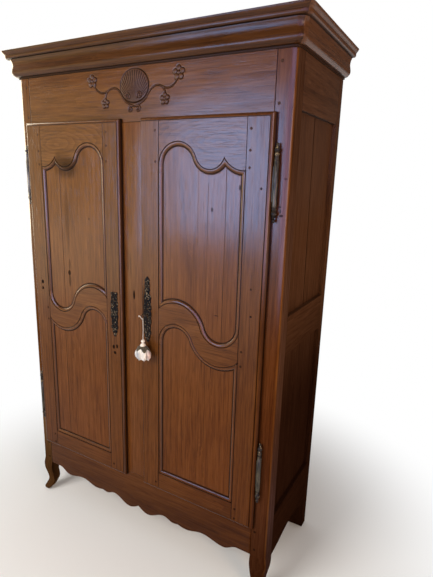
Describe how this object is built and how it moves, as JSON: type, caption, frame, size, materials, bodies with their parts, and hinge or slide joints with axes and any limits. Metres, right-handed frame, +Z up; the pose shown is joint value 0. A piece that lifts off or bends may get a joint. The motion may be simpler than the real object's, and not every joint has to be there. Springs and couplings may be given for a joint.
{
  "type": "two-door wardrobe",
  "caption": "Tall country wardrobe with a loose moulded cornice, two lipped doors with shaped panels on long turned hinges, a waved apron, curled feet, and a key with a tassel.",
  "frame": {"origin": "on the floor under the centre of the bounding box without the cord and tassel", "axes": "+Z up, -Y towards the front with the doors, +X to the right as seen from the front"},
  "size_m": [1.358, 0.5743, 2.105],
  "materials": {
    "waxed_oak": "waxed oak, worn golden brown",
    "panel_oak": "waxed oak boards, redder brown",
    "side_oak": "dark waxed oak",
    "raw_oak": "plain oak without wax",
    "iron": "dark rusted iron, dull",
    "hinge_metal": "old dull brass",
    "string": "twisted cotton string",
    "tassel_cloth": "pale pink and grey cloth"
  },
  "bodies": {
    "case": {"frieze_rail": "waxed_oak", "apron_rail": "waxed_oak", "centre_post": "waxed_oak", "front_post_left": "waxed_oak", "rear_post_left": "side_oak", "side_top_rail_left": "side_oak", "side_mid_rail_left": "side_oak", "side_bottom_rail_left": "side_oak", "side_upper_panel_left": "side_oak", "side_lower_panel_left": "side_oak", "back_panel_left": "side_oak", "cleat_left": "raw_oak", "left_upper_hinge_pin": "iron", "left_lower_hinge_pin": "iron", "front_post_right": "waxed_oak", "rear_post_right": "side_oak", "side_top_rail_right": "side_oak", "side_mid_rail_right": "side_oak", "side_bottom_rail_right": "side_oak", "side_upper_panel_right": "side_oak", "side_lower_panel_right": "side_oak", "back_panel_right": "side_oak", "cleat_right": "raw_oak", "right_upper_hinge_pin": "iron", "right_lower_hinge_pin": "iron", "back_top_rail": "side_oak", "back_bottom_rail": "side_oak", "floor_board": "raw_oak", "dust_board": "raw_oak", "shelf": "raw_oak", "hanging_rail": "raw_oak", "cornice_left": "waxed_oak", "cornice_front": "waxed_oak", "cornice_right": "waxed_oak"},
    "left_door": {"left_door_hinge_stile": "waxed_oak", "left_door_meeting_stile": "waxed_oak", "left_door_top_rail": "waxed_oak", "left_door_mid_rail": "waxed_oak", "left_door_bottom_rail": "waxed_oak", "left_door_upper_panel": "panel_oak", "left_door_lower_panel": "panel_oak", "left_door_escutcheon": "iron", "left_upper_hinge_barrel": "hinge_metal", "left_lower_hinge_barrel": "hinge_metal"},
    "right_door": {"right_door_hinge_stile": "waxed_oak", "right_door_meeting_stile": "waxed_oak", "right_door_top_rail": "waxed_oak", "right_door_mid_rail": "waxed_oak", "right_door_bottom_rail": "waxed_oak", "right_door_upper_panel": "panel_oak", "right_door_lower_panel": "panel_oak", "right_door_escutcheon": "iron", "right_upper_hinge_barrel": "hinge_metal", "right_lower_hinge_barrel": "hinge_metal", "lock_case": "iron"},
    "key": {"key": "iron"},
    "lock_bolt": {"lock_bolt": "hinge_metal"},
    "tassel": {"tassel": "tassel_cloth", "tassel_cord": "string"},
    "turn_button": {"left_door_turn_button": "raw_oak"}
  },
  "joints": [
    {"name": "left_door_hinge", "type": "hinge", "parent": "case", "child": "left_door", "pos_m": [-0.584, -0.226, 1.064], "axis": [0, 0, -1], "range_deg": [0, 165]},
    {"name": "right_door_hinge", "type": "hinge", "parent": "case", "child": "right_door", "pos_m": [0.584, -0.226, 1.064], "axis": [0, 0, 1], "range_deg": [0, 165]},
    {"name": "key_turn", "type": "hinge", "parent": "right_door", "child": "key", "pos_m": [0.08, -0.2385, 1.085], "axis": [0, -1, 0], "range_deg": [0, 180]},
    {"name": "lock_bolt_slide", "type": "slide", "parent": "right_door", "child": "lock_bolt", "axis": [-1, 0, 0], "range_m": [0, 0.014]},
    {"name": "tassel_swing", "type": "hinge", "parent": "right_door", "child": "tassel", "pos_m": [0.08, -0.2685, 1.0716], "axis": [0, 1, 0], "range_deg": [-50, 50]},
    {"name": "turn_button_pivot", "type": "hinge", "parent": "left_door", "child": "turn_button", "pos_m": [-0.098, -0.2045, 1.05], "axis": [0, -1, 0], "range_deg": [0, 90]}
  ],
  "couplings": [
    {"joint": "key_turn", "follows": "lock_bolt_slide", "rad_per_m": 224.4}
  ]
}
